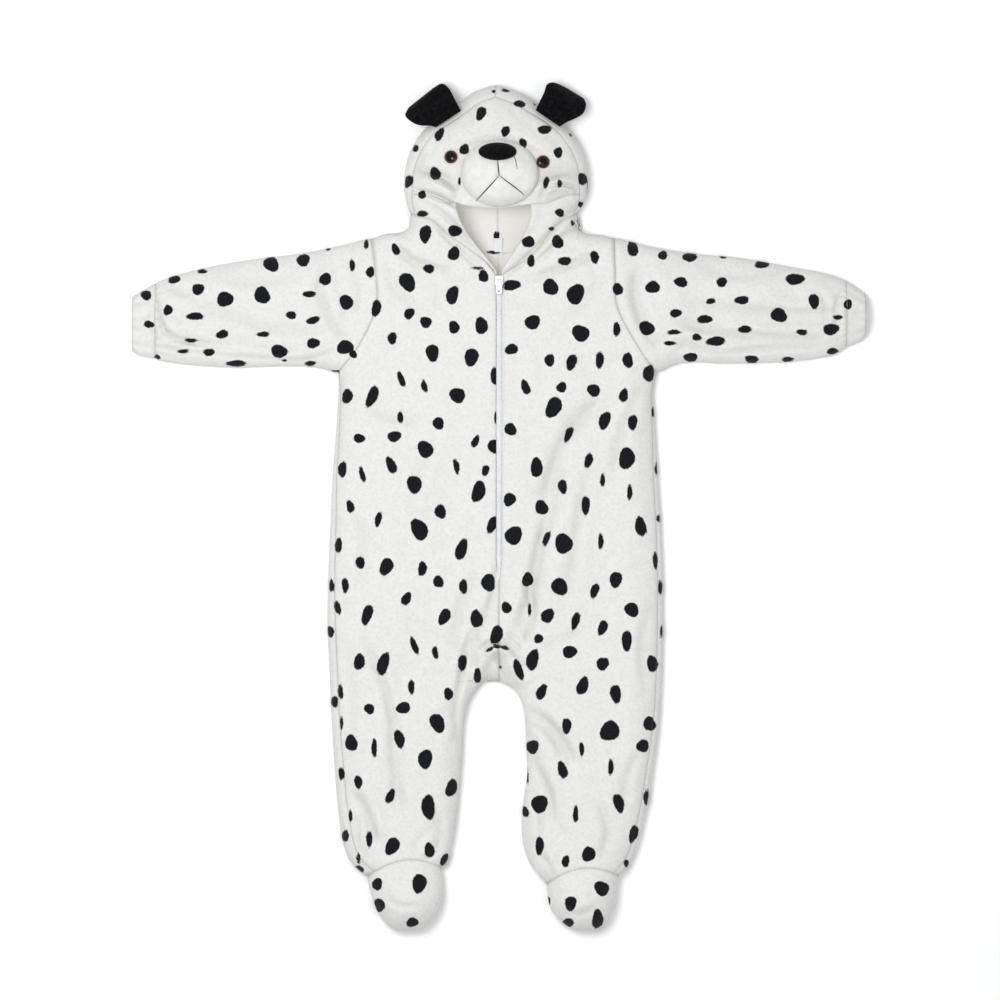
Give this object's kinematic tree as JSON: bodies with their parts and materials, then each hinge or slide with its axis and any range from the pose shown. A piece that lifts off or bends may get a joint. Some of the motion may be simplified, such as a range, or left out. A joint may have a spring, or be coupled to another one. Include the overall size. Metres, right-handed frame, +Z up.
{
  "type": "dog onesie",
  "caption": "Toddler's hooded, footed plush onesie with black spots and a dog's face on the hood, laid flat on its back with the zip pull free to swing.",
  "frame": {"origin": "middle of the garment's outline, on the surface that it lies on", "axes": "+X to the right as seen from above, +Y towards the hood, +Z up from the surface, with the front of the garment up"},
  "size_m": [0.7328, 0.8499, 0.0861],
  "materials": {
    "plush": "off-white short-pile plush with a black spot print",
    "smooth_plush": "smooth off-white velour",
    "black_plush": "black plush",
    "eye": "glossy black with a brown rim",
    "tape": "white woven polyester tape",
    "zip_plastic": "white lacquered zip slider"
  },
  "bodies": {
    "garment": {"front_left": "plush", "front_right": "plush", "back_left": "plush", "back_right": "plush", "sleeve_left": "plush", "sleeve_right": "plush", "cuff_left": "plush", "cuff_right": "plush", "foot_upper_left": "plush", "foot_upper_right": "plush", "sole_left": "plush", "sole_right": "plush", "hood_side_left": "plush", "hood_side_right": "plush", "hood_edge_left": "plush", "hood_edge_right": "plush", "hood_face": "plush", "muzzle": "smooth_plush", "nose": "black_plush", "ear_left": "black_plush", "ear_right": "black_plush", "eye_left": "eye", "eye_right": "eye", "zip_tape_left": "tape", "zip_tape_right": "tape", "zip_coil": "tape", "zip_slider": "zip_plastic", "neck_label": "tape"},
    "pull": {"zip_pull": "zip_plastic"}
  },
  "joints": [
    {"name": "zip_pull_flip", "type": "hinge", "parent": "garment", "child": "pull", "pos_m": [0, 0.2265, 0.03545], "axis": [-1, 0, 0], "range_deg": [0, 150]}
  ]
}
